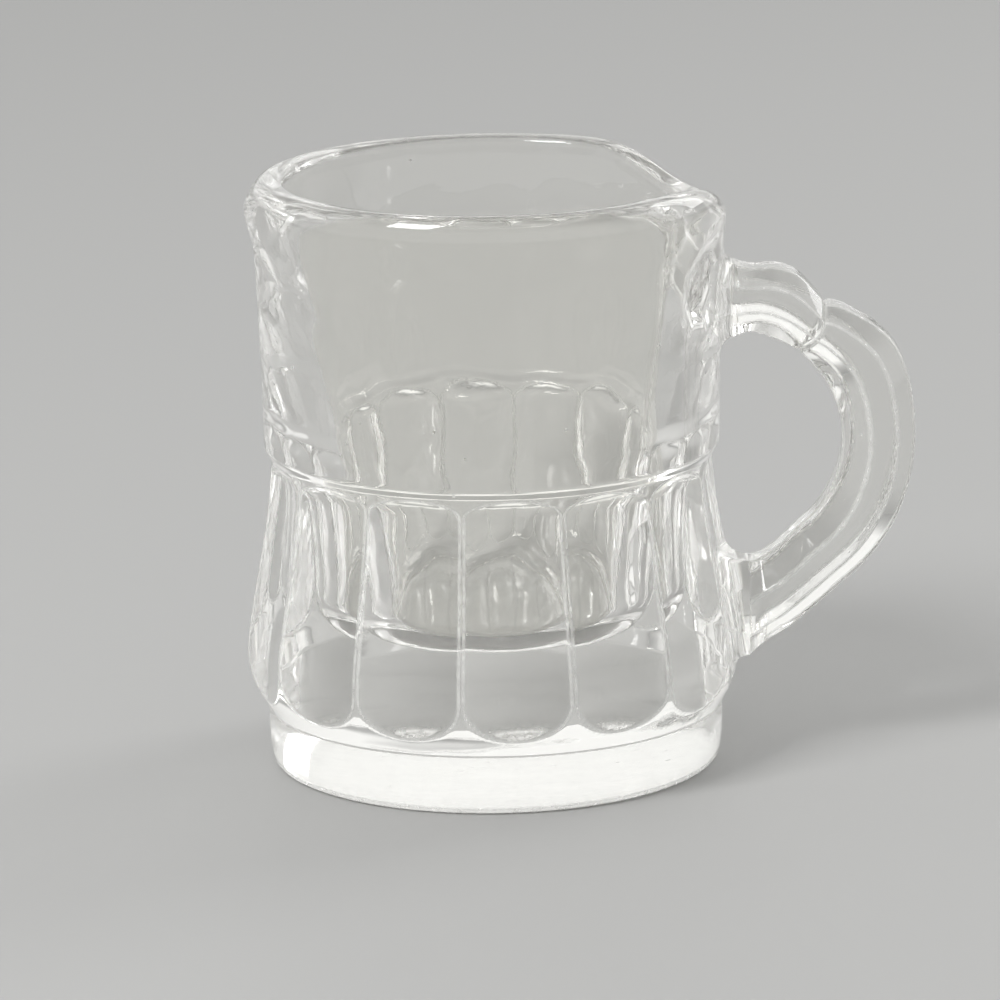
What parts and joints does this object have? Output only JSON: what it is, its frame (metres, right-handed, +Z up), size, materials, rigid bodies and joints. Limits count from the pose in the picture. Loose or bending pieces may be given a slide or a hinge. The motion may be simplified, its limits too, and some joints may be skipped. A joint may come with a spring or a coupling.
{
  "type": "miniature glass beer mug",
  "caption": "Miniature clear pressed-glass beer mug with a fluted barrel, a plain upper band, a thick base and a faceted loop handle, for serving a shot.",
  "frame": {"origin": "middle of the flat underside, on the cup's axis", "axes": "+Z up along the cup's axis, +X from the axis towards the handle, +Y to the far side of the handle's plane"},
  "size_m": [0.0609, 0.0448, 0.054],
  "materials": {
    "cup_glass": "gloss",
    "lug_glass": "gloss",
    "loop_glass": "gloss"
  },
  "bodies": {
    "root": {"cup": "cup_glass", "handle_lug": "lug_glass", "handle_loop": "loop_glass"}
  },
  "joints": []
}
